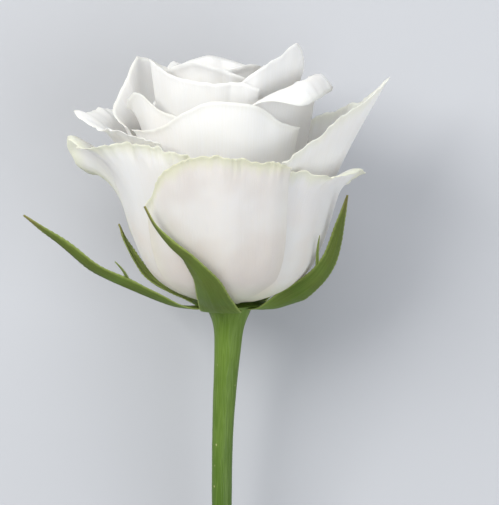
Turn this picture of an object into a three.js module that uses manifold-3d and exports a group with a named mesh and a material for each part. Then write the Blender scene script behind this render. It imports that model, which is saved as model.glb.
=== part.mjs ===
// A cut white rose, half open, laid down on a table: petals, sepals, hip, stem and the flower's
// heart of stamens and styles, each its own solid.
//
// Units are millimetres and degrees. Every piece is modelled in the bloom's own frame: the origin
// is the top of the hip, +Z runs up through the bloom, and -Y is the side that faces up once the
// rose lies down. The outer group then lays the whole rose on the plane z = 0 on its back petals
// and the end of its stem, with +Y running from stem to bloom.
import * as THREE from "three";
import Module from "manifold-3d";

// ---- Driving dimensions -------------------------------------------------------------------------

const PETALS = 28; // from the outermost, 0, to the innermost
const GOLDEN_ANGLE = 137.5; // the turn from one petal to the next along the growing spiral
const PETAL_FOOT = 1.05; // height of the outermost petal's foot above the hip
const FOOT_RISE = 1.2; // the innermost petal's foot stands this much higher
const PETAL_THICKNESS = 0.44;
const FOOT_THICKNESS = 0.3;

const STEM_LENGTH = 178;
const STEM_RADIUS = 2.4;
const STEM_END_SWELL = 0.4; // the stem is this much thicker again at its cut end
const STEM_BEND = 1.95; // how far the stem stands off sideways from the bloom's own axis
const STEM_BEND_REACH = 24; // over about this length
const STEM_CUT_SLANT = 2.2; // half the height of the slanting cut at the stem's end
const NECK_SWELL = 1.8; // the stem thickens by this towards the hip
const NECK_REACH = 18;
const HIP_FLARE = 1.7; // and flares by this again at the hip
const HIP_REACH = 4.2;
const DISC_RADIUS = 9.4; // the floral disc on top of the hip, which the petals grow from
const DISC_UNDERSIDE = 0.05;
const DISC_TOP = 0.6; // at its edge
const DISC_DOME = 1; // and this much higher in the middle

const REST_TILT = 7.8; // the bloom's rise from the table, about the end of the stem
const REST_ROLL = -2.8; // turn about the stem's own line

// ---- Small helpers ------------------------------------------------------------------------------

const radians = THREE.MathUtils.degToRad;
const mix = THREE.MathUtils.lerp;
const ease = THREE.MathUtils.smoothstep;

// The material of one kind of tissue.
function tissue(color, roughness) {
  return new THREE.MeshStandardMaterial({ color, roughness, metalness: 0 });
}

const PETAL_WHITE = tissue(0xf4f1e8, 0.55);
const SEPAL_GREEN = tissue(0x5c7a35, 0.6);
const STEM_GREEN = tissue(0x7fa045, 0.45);
const STAMEN_YELLOW = tissue(0xd9b25a, 0.7);
const STYLE_GREEN = tissue(0xc9cf8a, 0.6);

// A closed shell between two point grids of the same size: front[i][j] faces out of the thickness.
function closedShell(front, back) {
  const rows = front.length;
  const columns = front[0].length;
  const positions = [];
  const triangles = [];
  for (const side of [front, back])
    for (const row of side) for (const point of row) positions.push(...point);
  const frontAt = (i, j) => i * columns + j;
  const backAt = (i, j) => (rows + i) * columns + j;
  const quad = (a, b, c, d) => triangles.push(a, b, c, a, c, d);
  for (let i = 0; i < rows - 1; i++)
    for (let j = 0; j < columns - 1; j++) {
      quad(frontAt(i, j), frontAt(i, j + 1), frontAt(i + 1, j + 1), frontAt(i + 1, j));
      quad(backAt(i, j), backAt(i + 1, j), backAt(i + 1, j + 1), backAt(i, j + 1));
    }
  for (let i = 0; i < rows - 1; i++) {
    const last = columns - 1;
    quad(frontAt(i, 0), frontAt(i + 1, 0), backAt(i + 1, 0), backAt(i, 0));
    quad(frontAt(i + 1, last), frontAt(i, last), backAt(i, last), backAt(i + 1, last));
  }
  for (let j = 0; j < columns - 1; j++) {
    const last = rows - 1;
    quad(frontAt(0, j + 1), frontAt(0, j), backAt(0, j), backAt(0, j + 1));
    quad(frontAt(last, j), frontAt(last, j + 1), backAt(last, j + 1), backAt(last, j));
  }
  const geometry = new THREE.BufferGeometry();
  geometry.setAttribute("position", new THREE.Float32BufferAttribute(positions, 3));
  geometry.setIndex(triangles);
  return geometry;
}

// A sheet of even thickness around surface(u, v), where the outside is on the side of du x dv.
function sheet(surface, across, along, thicknessAt) {
  const front = [];
  const back = [];
  const step = 1e-3;
  for (const v of along) {
    const frontRow = [];
    const backRow = [];
    for (const u of across) {
      const middle = surface(u, v);
      const du = surface(u + step, v).sub(surface(u - step, v));
      const dv = surface(u, Math.min(1, v + step)).sub(surface(u, Math.max(0, v - step)));
      const normal = du.cross(dv).normalize();
      const half = thicknessAt(u, v) / 2;
      frontRow.push(middle.clone().addScaledVector(normal, half));
      backRow.push(middle.clone().addScaledVector(normal, -half));
    }
    front.push(frontRow);
    back.push(backRow);
  }
  return closedShell(front, back);
}

// count + 1 values from low to high.
function steps(low, high, count) {
  return Array.from({ length: count + 1 }, (_, i) => mix(low, high, i / count));
}

// ---- Petals -------------------------------------------------------------------------------------

// Petals lie in nested cups. layer runs from 0 at the heart to 1 at the outside, and no two cups
// cross, so petals stay clear of each other below their free rims.
function cupRadius(z, layer) {
  const above = z - footRise(layer);
  const outer = 4.6 + 15.6 * (1 - Math.exp(-above / 3.8)) + 0.31 * above;
  const inner = 1.2 + 2.4 / (1 + Math.exp((above - 25) / 8));
  return mix(inner, outer, layer);
}

// How much higher than the outermost petal's foot the feet of a layer stand.
function footRise(layer) {
  return FOOT_RISE * (1 - Math.exp((layer - 1) / 0.25));
}

function layerOf(index) {
  return Math.pow(1 - index / PETALS, 1.1);
}

// The shape of one petal. s runs across it from -1 to 1, anticlockwise seen from above.
//   azimuth   where its middle stands around the bloom
//   half      half its angle near the rim
//   layer     the cup that it lies in, where the growing spiral doesn't give it
//   foot      width of its foot in angle, as a share of half
//   widest    height at which it reaches its full angle
//   taper     how much wider it is in angle at the belly than at the rim
//   rim       height of the rim at nine even places across, measured along the petal
//   flare     length of the rim that leaves the cup, at even places across
//   lean      the rim's angle from upright, at five even places across
//   bend      how late the rim takes on its lean: 0 is at once
//   free      height under which the petal is held in the cup by its outer neighbours
const PLAIN_PETAL = { foot: 0.38, widest: 24, taper: 0, bend: 1.4 };
const OUTER_PETAL = { foot: 0.56, widest: 11, taper: 0.08, bend: 1.4 };
const SHOWN_PETALS = [
  {
    ...OUTER_PETAL, azimuth: 266.5, half: 35, layer: 1, taper: 0.16, widest: 9, free: 20,
    rim: [27, 34, 38, 40, 40.5, 40.5, 39, 39, 37.5], flare: [8, 8, 8, 8, 8], lean: [16, 18, 20, 18, 14],
  },
  {
    ...OUTER_PETAL, azimuth: 321, half: 41, layer: 0.95, free: 26,
    rim: [35, 36, 36.5, 36.5, 37, 38.5, 39.5, 36, 31], flare: [11, 11, 11, 11, 11],
    lean: [14, 14, 70, 100, 50],
  },
  {
    ...OUTER_PETAL, azimuth: 220, half: 44, layer: 0.92, free: 22,
    rim: [41, 50, 46, 44, 43.5, 43, 42, 41, 38], flare: [20, 20, 20, 20, 20], lean: [68, 70, 26, 18, 15],
  },
  {
    ...OUTER_PETAL, azimuth: 66, half: 48, layer: 0.93, free: 24,
    rim: [30, 38, 41, 42, 43, 42, 38, 33, 28], flare: [12, 12, 12, 12, 12], lean: [20, 35, 49, 45, 38],
  },
  {
    ...OUTER_PETAL, azimuth: 358, half: 60, layer: 0.87, free: 28, bend: 0.3,
    rim: [39.6, 44.5, 49.2, 53.8, 60.5, 53.6, 48.8, 46, 42], flare: [34, 34, 34, 34, 34],
    lean: [32, 22, 31, 19, 12],
  },
  {
    ...OUTER_PETAL, azimuth: 118, half: 49, layer: 0.86, free: 24,
    rim: [30, 37, 41, 43.5, 45, 43.5, 41, 37, 30], flare: [14, 14, 14, 14, 14], lean: [20, 46, 84, 60, 25],
  },
  {
    ...PLAIN_PETAL, azimuth: 190, half: 50, layer: 0.81, free: 32,
    rim: [47, 50, 51.5, 52.5, 54.5, 50.5, 48.5, 46.5, 44], flare: [21, 21, 21, 21, 21],
    lean: [40, 60, 78, 65, 45],
  },
  {
    ...PLAIN_PETAL, azimuth: 148, half: 55, free: 40,
    rim: [48, 53, 56.5, 59.5, 61, 54, 50, 48, 46], flare: [18, 18, 18, 18, 18], lean: [12, 10, 10, 50, 50],
  },
  {
    ...PLAIN_PETAL, azimuth: 262, half: 56, free: 40,
    rim: [45.2, 45.2, 46.3, 49.5, 52.2, 52.3, 51.2, 47.5, 46], flare: [6, 6, 6, 6, 6],
    lean: [45, 35, 12, 14, 20],
  },
  {
    ...PLAIN_PETAL, azimuth: 80, half: 52, free: 40,
    rim: [40, 46, 50, 51.5, 52.5, 51.5, 49, 45, 40], flare: [10, 10, 10, 10, 10],
    lean: [20, 35, 40, 35, 20],
  },
  {
    ...PLAIN_PETAL, azimuth: 212, half: 54, free: 42,
    rim: [48, 49, 50.5, 53.5, 53.5, 50, 48.5, 47, 45], flare: [10, 10, 10, 10, 10],
    lean: [30, 50, 20, 15, 15],
  },
  {
    ...PLAIN_PETAL, azimuth: 325, half: 60, free: 49, bend: 0.15,
    rim: [47.5, 50, 54.8, 62.6, 63.4, 63.2, 63, 58, 55], flare: [1, 1, 2.5, 8, 7, 6, 5.5, 3, 2],
    lean: [30, 110, 145, 155, 60],
  },
  {
    ...PLAIN_PETAL, azimuth: 105, half: 62, free: 48,
    rim: [50, 53, 55, 56, 56.5, 56, 55, 52, 49], flare: [7, 7, 7, 7, 7], lean: [15, 20, 25, 20, 15],
  },
  {
    ...PLAIN_PETAL, azimuth: 250, half: 46, free: 48,
    rim: [61.5, 60, 58.6, 57.5, 56.8, 56.5, 56.5, 56.5, 55], flare: [6, 6, 6, 6, 6],
    lean: [10, 12, 15, 15, 12],
  },
  {
    ...PLAIN_PETAL, azimuth: 330, half: 62, free: 52,
    rim: [52.5, 56.5, 60.3, 62.5, 65.5, 62, 59, 57, 55], flare: [8, 8, 8, 8, 8], lean: [10, 12, 14, 16, 15],
  },
];

// The petals of the tight heart follow one rule: each is wider in angle and a little lower.
function heartPetal(index) {
  const inward = (index - SHOWN_PETALS.length) / (PETALS - 1 - SHOWN_PETALS.length);
  const last = SHOWN_PETALS[SHOWN_PETALS.length - 1];
  const top = mix(61.5, 57.5, inward) + 0.8 * Math.sin(2.1 * index);
  const drop = mix(9, 5, inward);
  return {
    ...PLAIN_PETAL,
    azimuth: last.azimuth + GOLDEN_ANGLE * (index - SHOWN_PETALS.length + 1),
    half: mix(72, 118, inward),
    free: 50,
    rim: steps(-1, 1, 8).map((s) => top - drop * Math.pow(Math.abs(s), 1.3)),
    flare: [mix(6, 3, inward)],
    lean: [18, 24, mix(34, 12, inward), 24, 18],
  };
}

// A smooth curve through values that stand at even places from s = -1 to s = 1.
function smoothThrough(values, s) {
  if (values.length === 1) return values[0];
  const last = values.length - 1;
  const place = THREE.MathUtils.clamp(((s + 1) / 2) * last, 0, last);
  const index = Math.min(Math.floor(place), last - 1);
  const x = place - index;
  const at = (i) => values[THREE.MathUtils.clamp(i, 0, last)];
  const [a, b, c, d] = [at(index - 1), at(index), at(index + 1), at(index + 2)];
  return b + 0.5 * x * (c - a + x * (2 * a - 5 * b + 4 * c - d + x * (3 * (b - c) + d - a)));
}

// The middle of the petal's thickness at s across it and t from its foot, 0, to its rim, 1.
function petalPoint(petal, layer, s, t) {
  const rim = smoothThrough(petal.rim, s);
  const leaves = Math.min(rim, Math.max(rim - smoothThrough(petal.flare, s), petal.free));
  const climb = mix(PETAL_FOOT + footRise(layer), rim, Math.pow(t, 1.3));
  let z = Math.min(climb, leaves);
  let radius = cupRadius(z, layer);
  if (climb > leaves) {
    const slope = Math.atan(cupRadius(z + 0.5, layer) - cupRadius(z - 0.5, layer));
    const lean = Math.max(slope, radians(smoothThrough(petal.lean, s)));
    const pieces = 8;
    const length = (climb - leaves) / pieces;
    for (let k = 0; k < pieces; k++) {
      const done = ((k + 0.5) * length) / (rim - leaves);
      const angle = mix(slope, lean, Math.pow(done, petal.bend));
      radius += length * Math.sin(angle);
      z += length * Math.cos(angle);
    }
  }
  const belly = 1 + petal.taper * (1 - ease(climb, petal.widest, 36));
  const spread = mix(petal.foot, 1, ease(climb, 0, petal.widest)) * belly;
  const angle = radians(petal.azimuth + s * petal.half * spread);
  return new THREE.Vector3(radius * Math.cos(angle), radius * Math.sin(angle), z);
}

function petal(index) {
  const shown = index < SHOWN_PETALS.length;
  const shape = shown ? SHOWN_PETALS[index] : heartPetal(index);
  const layer = shape.layer ?? layerOf(index);
  const across = steps(-1, 1, shown ? 10 : 12).map((u) => Math.sin((u * Math.PI) / 2));
  const along = steps(0, 1, shown ? 8 : 6);
  const surface = (s, t) => petalPoint(shape, layer, s, t);
  const thickness = (s, t) => mix(FOOT_THICKNESS, PETAL_THICKNESS, ease(t, 0, 0.3));
  const geometry = sheet(surface, across, along, thickness);
  const mesh = new THREE.Mesh(geometry, PETAL_WHITE);
  mesh.name = `petal_${String(index + 1).padStart(2, "0")}`;
  return mesh;
}

// ---- Sepals -------------------------------------------------------------------------------------

// The middle line of each sepal, from its foot under the disc to its tip, as [azimuth, radius,
// height] around the bloom, with its greatest width and its twist from foot to tip.
const SEPALS = [
  {
    name: "sepal_front", width: 10.5, twist: -20,
    line: [[264, 6.5, -0.9], [264, 10, -0.8], [263, 14.5, 0.6], [262, 19.8, 3.6], [259.5, 24.6, 8.8],
      [253, 27.4, 14], [245, 29, 17.8], [238, 30.2, 22.5], [234, 31.4, 27.2]],
  },
  {
    name: "sepal_right", width: 7.5, twist: -30,
    line: [[342, 6.5, -0.9], [342, 10, -0.8], [342, 14, 0.6], [342, 18.8, 3], [342, 23.3, 6.6],
      [342, 26.6, 11.4], [342, 28.6, 16.4], [341, 30, 22], [340, 31.8, 28.5]],
  },
  {
    name: "sepal_back_right", width: 8, twist: 0,
    line: [[54, 6.5, -0.9], [54, 10, -0.8], [54, 15, 0.8], [54, 21, 4], [53, 25.6, 9], [52, 28, 15],
      [50, 29.4, 21.5]],
  },
  {
    name: "sepal_back_left", width: 6.5, twist: 0,
    line: [[126, 6.5, -0.9], [131, 10, -0.8], [140, 15, 0.4], [150, 22, 3.2], [151, 27.5, 8],
      [150, 31, 12.5], [149, 34, 17.5]],
  },
  {
    name: "sepal_left", width: 7.5, twist: 55,
    line: [[198, 6.5, -0.9], [198, 10, -0.8], [198, 15, 0.3], [198, 23.1, 3.8], [198, 33.5, 9.3],
      [198, 44, 17.9], [198, 51.5, 23.7]],
  },
];
const SEPAL_THICKNESS = 0.6;
const SEPAL_CAMBER = 0.16; // how deep a sepal is hollowed, as a share of its width

function around([azimuth, radius, height]) {
  const angle = radians(azimuth);
  return new THREE.Vector3(radius * Math.cos(angle), radius * Math.sin(angle), height);
}

// The share of its greatest width that a sepal has at t: broad above the foot, then a long taper.
function sepalWidth(t) {
  return mix(0.8, 1, ease(t, 0, 0.12)) * Math.pow(1 - Math.pow(t, 1.15), 0.9) + 0.06;
}

function sepal({ name, width, twist, line }) {
  const middle = new THREE.CatmullRomCurve3(line.map(around), false, "centripetal");
  const surface = (s, t) => {
    const centre = middle.getPoint(t);
    const along = middle.getTangent(t);
    const out = new THREE.Vector3(centre.x, centre.y, 0).normalize();
    out.z = -1; // a sepal's outer face looks down near its foot and outwards higher up
    out.addScaledVector(along, -out.dot(along)).normalize();
    out.applyAxisAngle(along, radians(twist) * t);
    const side = new THREE.Vector3().crossVectors(out, along);
    const reach = (width * sepalWidth(t)) / 2;
    return centre
      .addScaledVector(side, s * reach)
      .addScaledVector(out, -SEPAL_CAMBER * ease(t, 0.05, 0.3) * 2 * reach * s * s);
  };
  const thickness = (s, t) => SEPAL_THICKNESS * mix(1, 0.7, t);
  const mesh = new THREE.Mesh(sheet(surface, steps(-1, 1, 4), steps(0, 1, 18), thickness), SEPAL_GREEN);
  mesh.name = name;
  return mesh;
}

// ---- Stem, hip and disc -------------------------------------------------------------------------

function stemRadius(z) {
  const lower = STEM_END_SWELL * ease(-z, 50, STEM_LENGTH);
  const neck = NECK_SWELL * Math.exp(z / NECK_REACH);
  const hip = HIP_FLARE * Math.exp(-Math.pow(z / HIP_REACH, 2));
  return STEM_RADIUS + lower + neck + hip;
}

function stemMiddle(z) {
  const bend = 0.3 - STEM_BEND * (1 - Math.exp(-Math.pow(z / STEM_BEND_REACH, 2)));
  return new THREE.Vector3(bend, 0, z);
}

// Rings of points from the cut end up over the hip to the top of the disc, closed at both ends.
function stem() {
  const sides = 20;
  const rings = [];
  const ring = (z, radius, slant = 0) => {
    const centre = stemMiddle(Math.min(z, 0));
    const points = [];
    for (let k = 0; k < sides; k++) {
      const angle = (2 * Math.PI * k) / sides;
      const x = centre.x + radius * Math.cos(angle);
      points.push([x, radius * Math.sin(angle), z + slant * Math.sin(angle)]);
    }
    rings.push(points);
  };
  ring(-STEM_LENGTH, 0.01);
  ring(-STEM_LENGTH, stemRadius(-STEM_LENGTH), STEM_CUT_SLANT);
  for (const z of steps(-STEM_LENGTH + 2 * STEM_CUT_SLANT, -60, 4)) ring(z, stemRadius(z));
  for (const z of steps(-50, -14, 5)) ring(z, stemRadius(z));
  for (const z of steps(-11, -1, 6)) ring(z, stemRadius(z));
  ring(DISC_UNDERSIDE, stemRadius(0));
  ring(DISC_UNDERSIDE, DISC_RADIUS - 0.2);
  ring(mix(DISC_UNDERSIDE, DISC_TOP, 0.5), DISC_RADIUS);
  ring(DISC_TOP, DISC_RADIUS - 0.2);
  ring(DISC_TOP + DISC_DOME, 0.4 * DISC_RADIUS);
  ring(DISC_TOP + DISC_DOME, 0.01);
  const positions = rings.flat(2);
  const triangles = [];
  for (let i = 0; i < rings.length - 1; i++)
    for (let k = 0; k < sides; k++) {
      const next = (k + 1) % sides;
      const [a, b] = [i * sides + k, i * sides + next];
      triangles.push(a, b, b + sides, a, b + sides, a + sides);
    }
  const cap = (first, flip) => {
    for (let k = 1; k < sides - 1; k++)
      triangles.push(...(flip ? [first, first + k + 1, first + k] : [first, first + k, first + k + 1]));
  };
  cap(0, true);
  cap((rings.length - 1) * sides, false);
  const geometry = new THREE.BufferGeometry();
  geometry.setAttribute("position", new THREE.Float32BufferAttribute(positions, 3));
  geometry.setIndex(triangles);
  const mesh = new THREE.Mesh(geometry, STEM_GREEN);
  mesh.name = "stem";
  return mesh;
}

// ---- Stamens and styles -------------------------------------------------------------------------

const manifold = await Module();
manifold.setup();
const { Manifold } = manifold;

const STAMENS = 10;
const STAMEN_RING = 2.1; // radius of the circle they stand on
const STAMEN_HEIGHT = 7.5;
const STAMEN_FOOT = 1.9; // above the hip
const STAMEN_GIRTH = 0.2; // radius of a filament
const ANTHER_RADIUS = 0.42;

// The filaments with their anthers, joined by the low ring that they grow from.
function stamens() {
  const outside = Manifold.cylinder(0.6, STAMEN_RING + 0.45, STAMEN_RING + 0.35, 20);
  const inside = Manifold.cylinder(1, STAMEN_RING - 0.5, STAMEN_RING - 0.5, 20).translate([0, 0, -0.2]);
  const pieces = [outside.subtract(inside)];
  for (let k = 0; k < STAMENS; k++) {
    const height = STAMEN_HEIGHT + 0.5 * Math.sin(2.4 * k);
    const filament = Manifold.cylinder(height, STAMEN_GIRTH, STAMEN_GIRTH, 5);
    const anther = Manifold.sphere(ANTHER_RADIUS, 6).scale([1, 0.8, 1.5]).translate([0, 0, height]);
    const upright = filament.add(anther).translate([0, 0, 0.2]);
    const placed = upright.rotate([0, 3, 0]).translate([STAMEN_RING, 0, 0]);
    pieces.push(placed.rotate([0, 0, (360 * k) / STAMENS]));
  }
  return solidMesh("stamens", Manifold.union(pieces).translate([0, 0, STAMEN_FOOT]), STAMEN_YELLOW);
}

// The styles stand in the middle as one slender bundle with a knob of stigmas.
function styles() {
  const outline = [[0, 0], [1.1, 0], [0.75, 2.5], [0.75, 6], [1.2, 7.6], [1.05, 8.6], [0, 9]];
  return solidMesh("styles", Manifold.revolve([outline], 12).translate([0, 0, STAMEN_FOOT]), STYLE_GREEN);
}

function solidMesh(name, solid, material) {
  const { vertProperties, triVerts } = solid.getMesh();
  const geometry = new THREE.BufferGeometry();
  geometry.setAttribute("position", new THREE.BufferAttribute(vertProperties, 3));
  geometry.setIndex(new THREE.BufferAttribute(triVerts, 1));
  const mesh = new THREE.Mesh(geometry, material);
  mesh.name = name;
  return mesh;
}

// ---- Assembly -----------------------------------------------------------------------------------

// Everything in the bloom's frame.
function standingRose() {
  const bloom = new THREE.Group();
  for (let index = 0; index < PETALS; index++) bloom.add(petal(index));
  for (const shape of SEPALS) bloom.add(sepal(shape));
  bloom.add(stem(), stamens(), styles());
  return bloom;
}

// The rose rolled about its own axis, tipped over onto its back petals, turned so that the stem
// runs along y, and set down in the middle of the plane z = 0.
function lyingRose() {
  const bloom = standingRose();
  bloom.rotation.set(radians(REST_TILT - 90), 0, radians(REST_ROLL), "XYZ");
  const rose = new THREE.Group();
  rose.add(bloom);
  rose.updateMatrixWorld(true);
  const box = new THREE.Box3().setFromObject(rose, true);
  const middle = box.getCenter(new THREE.Vector3());
  rose.position.set(-middle.x, -middle.y, -box.min.z);
  return rose;
}

export default lyingRose();
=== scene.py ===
"""A cut white rose, half open, lying on its back petals and the end of its stem."""

import logging
import math
from collections.abc import Sequence
from dataclasses import dataclass, field, replace
from enum import Enum

import bpy
import numpy as np
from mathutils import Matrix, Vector


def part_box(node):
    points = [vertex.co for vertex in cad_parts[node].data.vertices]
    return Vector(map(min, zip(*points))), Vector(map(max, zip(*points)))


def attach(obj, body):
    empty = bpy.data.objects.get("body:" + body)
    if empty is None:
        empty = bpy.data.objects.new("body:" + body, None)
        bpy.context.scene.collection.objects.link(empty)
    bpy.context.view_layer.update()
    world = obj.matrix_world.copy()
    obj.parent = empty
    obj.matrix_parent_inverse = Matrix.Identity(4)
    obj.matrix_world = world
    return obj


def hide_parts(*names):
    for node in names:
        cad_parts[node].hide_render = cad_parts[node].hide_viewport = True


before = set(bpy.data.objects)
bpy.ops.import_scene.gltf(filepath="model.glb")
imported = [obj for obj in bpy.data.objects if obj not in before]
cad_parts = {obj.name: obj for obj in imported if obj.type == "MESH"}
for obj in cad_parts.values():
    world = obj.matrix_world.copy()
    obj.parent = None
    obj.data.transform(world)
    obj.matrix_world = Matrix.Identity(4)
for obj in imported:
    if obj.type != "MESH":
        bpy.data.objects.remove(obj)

logging.basicConfig(level=logging.INFO, format="%(message)s")
log = logging.getLogger("rose")

MM = 0.001
ROOT = "root"

# The bloom's own frame has its origin at the top of the hip, +Z up through the bloom, and -Y on
# the side that faces up once the rose lies down. All sizes in it are millimetres.
PETALS = 28
GOLDEN_ANGLE = 137.5
PETAL_FOOT = 1.05
FOOT_RISE = 1.2
PETAL_THICKNESS = 0.44
EDGE_THICKNESS = 0.1
LOBE_THICKNESS = 0.3
SEPAL_THICKNESS = 0.6

# The outermost cup: radius at its floor, how far it opens above that, over what height, and then how
# steeply it goes on.
CUP_FLOOR = 4.6
CUP_OPENING = 15.6
CUP_CURVE = 3.8
CUP_SLOPE = 0.31
# The innermost cup narrows by its belly around a height.
CORE_RADIUS = 1.2
CORE_BELLY = 2.4
CORE_NARROWS_AT = 25.0
CORE_NARROWS_OVER = 8.0
FOOT_SHARE = 0.38
WIDEST_AT = 24.0

STEM_LENGTH = 178.0
STEM_RADIUS = 2.4
STEM_END_SWELL = 0.4
STEM_BEND = 1.95
STEM_BEND_REACH = 24.0
STEM_CUT_SLANT = 2.2
STEM_CUT_REACH = 12.0
STEM_SWELLS_FROM = 50.0
LAST_RING_ONLY = 400.0
HIP_OFFSET = 0.3
NECK_SWELL = 1.8
NECK_REACH = 18.0
HIP_FLARE = 1.7
HIP_REACH = 4.2
DISC_RADIUS = 9.4
DISC_UNDERSIDE = 0.05
DISC_TOP = 0.6
DISC_DOME = 1.0
DISC_RINGS = 16

REST_TILT = 7.8
REST_ROLL = -2.8
STYLE_OUTLINE = ((0, 1.9), (1.1, 1.9), (0.75, 4.4), (0.75, 7.9), (1.2, 9.5), (1.05, 10.5), (0, 10.9))
STYLE_SIDES = 12


# ---- Small helpers ------------------------------------------------------------------------------


def mix(low: np.ndarray | float, high: np.ndarray | float, share: np.ndarray | float) -> np.ndarray:
    """The value a share of the way from low to high."""
    return low + (high - low) * share


def ease(value: np.ndarray | float, start: float, end: float) -> np.ndarray:
    """A smooth rise from 0 at start to 1 at end."""
    x = np.clip((value - start) / (end - start), 0, 1)
    return x * x * (3 - 2 * x)


def smooth_through(values: Sequence[float], s: np.ndarray) -> np.ndarray:
    """A smooth curve through values at even places from s = -1 to s = 1.

    Args:
        values: The values to pass through.
        s: Where to read the curve.

    Returns:
        The curve's height at each s.
    """
    given = np.asarray(values, float)
    last = len(given) - 1
    place = np.clip((s + 1) / 2 * last, 0, last)
    index = np.minimum(np.floor(place).astype(int), last - 1)
    x = place - index
    a, b, c, d = (given[np.clip(index + k, 0, last)] for k in (-1, 0, 1, 2))
    return b + 0.5 * x * (c - a + x * (2 * a - 5 * b + 4 * c - d + x * (3 * (b - c) + d - a)))


def ripple(s: np.ndarray, waves: float, seed: float) -> np.ndarray:
    """An uneven wave between about -1 and 1, as along a ruffled rim.

    Args:
        s: Place across the petal, from -1 to 1.
        waves: How many waves fit across it.
        seed: Shifts the pattern, so that no two rims are alike.

    Returns:
        The wave's height at each s.
    """
    turn = math.pi * waves * s
    swell = 0.55 + 0.45 * np.sin(0.31 * turn + 2.1 * seed)
    broad = np.sin(turn + 1.7 * seed + 1.1 * np.sin(0.43 * turn + seed))
    middling = np.sin(2.17 * turn + 4.3 * seed + 0.9 * np.sin(0.7 * turn))
    fine = np.sin(4.1 * turn + 0.6 * seed + 1.6 * np.sin(0.9 * turn + seed))
    return swell * (0.5 * broad + 0.34 * middling) + 0.22 * fine * np.sin(0.37 * turn + seed) ** 4


@dataclass(frozen=True)
class RestingPlace:
    """Where the bloom's own frame lies on the table: a turn and a shift, in metres."""

    turn: np.ndarray
    shift: np.ndarray

    @classmethod
    def from_frame(cls) -> "RestingPlace":
        """Finds the place from the styles, whose outline is known in the bloom's own frame."""
        tip, roll = math.radians(REST_TILT - 90), math.radians(REST_ROLL)
        about_x = np.array(
            [[1, 0, 0], [0, math.cos(tip), -math.sin(tip)], [0, math.sin(tip), math.cos(tip)]]
        )
        about_z = np.array(
            [[math.cos(roll), -math.sin(roll), 0], [math.sin(roll), math.cos(roll), 0], [0, 0, 1]]
        )
        turn = about_x @ about_z
        corners = [
            (r * math.cos(a), r * math.sin(a), z)
            for r, z in STYLE_OUTLINE
            for a in np.arange(STYLE_SIDES) * 2 * math.pi / STYLE_SIDES
        ]
        turned = np.array(corners) @ turn.T * MM
        low, high = (np.array(corner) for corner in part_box("styles"))
        shift = low - turned.min(0)
        log.info("resting place fits the frame to %.4f mm", abs(turned.max(0) + shift - high).max() / MM)
        return cls(turn, shift)

    def place(self, points: np.ndarray) -> np.ndarray:
        """Points of the bloom's frame, in millimetres, as places on the table in metres."""
        return np.asarray(points, float) @ self.turn.T * MM + self.shift


# ---- Meshes -------------------------------------------------------------------------------------


def object_from_quads(
    name: str, points: np.ndarray, quads: np.ndarray, layers: dict[str, np.ndarray]
) -> bpy.types.Object:
    """A smooth mesh object with number layers on its points.

    Args:
        name: The object's name.
        points: One row of three coordinates for each vertex, in metres.
        quads: One row of four vertex numbers for each face.
        layers: Values for each vertex, by attribute name.

    Returns:
        The new object, linked to the scene.
    """
    mesh = bpy.data.meshes.new(name)
    mesh.vertices.add(len(points))
    mesh.vertices.foreach_set("co", np.asarray(points, np.float32).ravel())
    mesh.loops.add(quads.size)
    mesh.loops.foreach_set("vertex_index", quads.astype(np.int32).ravel())
    mesh.polygons.add(len(quads))
    mesh.polygons.foreach_set("loop_start", np.arange(len(quads), dtype=np.int32) * 4)
    mesh.update(calc_edges=True)
    mesh.validate()
    mesh.polygons.foreach_set("use_smooth", np.ones(len(mesh.polygons), bool))
    for layer, values in layers.items():
        attribute = mesh.attributes.new(layer, "FLOAT", "POINT")
        attribute.data.foreach_set("value", np.asarray(values, np.float32).ravel())
    made = bpy.data.objects.new(name, mesh)
    bpy.context.scene.collection.objects.link(made)
    return made


def shell_quads(rows: int, columns: int) -> np.ndarray:
    """Faces of a closed shell between two grids of points, the outer grid's points first."""
    outer = np.arange(rows * columns).reshape(rows, columns)
    inner = outer + rows * columns

    def strip(a: np.ndarray, b: np.ndarray, c: np.ndarray, d: np.ndarray) -> np.ndarray:
        """Faces with these four corners each."""
        return np.stack([a.ravel(), b.ravel(), c.ravel(), d.ravel()], 1)

    faces = [
        strip(outer[:-1, :-1], outer[:-1, 1:], outer[1:, 1:], outer[1:, :-1]),
        strip(inner[:-1, :-1], inner[1:, :-1], inner[1:, 1:], inner[:-1, 1:]),
        strip(outer[:-1, 0], outer[1:, 0], inner[1:, 0], inner[:-1, 0]),
        strip(outer[1:, -1], outer[:-1, -1], inner[:-1, -1], inner[1:, -1]),
        strip(outer[0, 1:], outer[0, :-1], inner[0, :-1], inner[0, 1:]),
        strip(outer[-1, :-1], outer[-1, 1:], inner[-1, 1:], inner[-1, :-1]),
    ]
    return np.concatenate(faces)


def grid_normals(grid: np.ndarray) -> np.ndarray:
    """Unit normals of a grid of points, on the side of across x along."""
    along, across = np.gradient(grid, axis=0), np.gradient(grid, axis=1)
    normal = np.cross(across, along)
    return normal / np.maximum(np.linalg.norm(normal, axis=2, keepdims=True), 1e-9)


# ---- Node trees ---------------------------------------------------------------------------------


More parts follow.
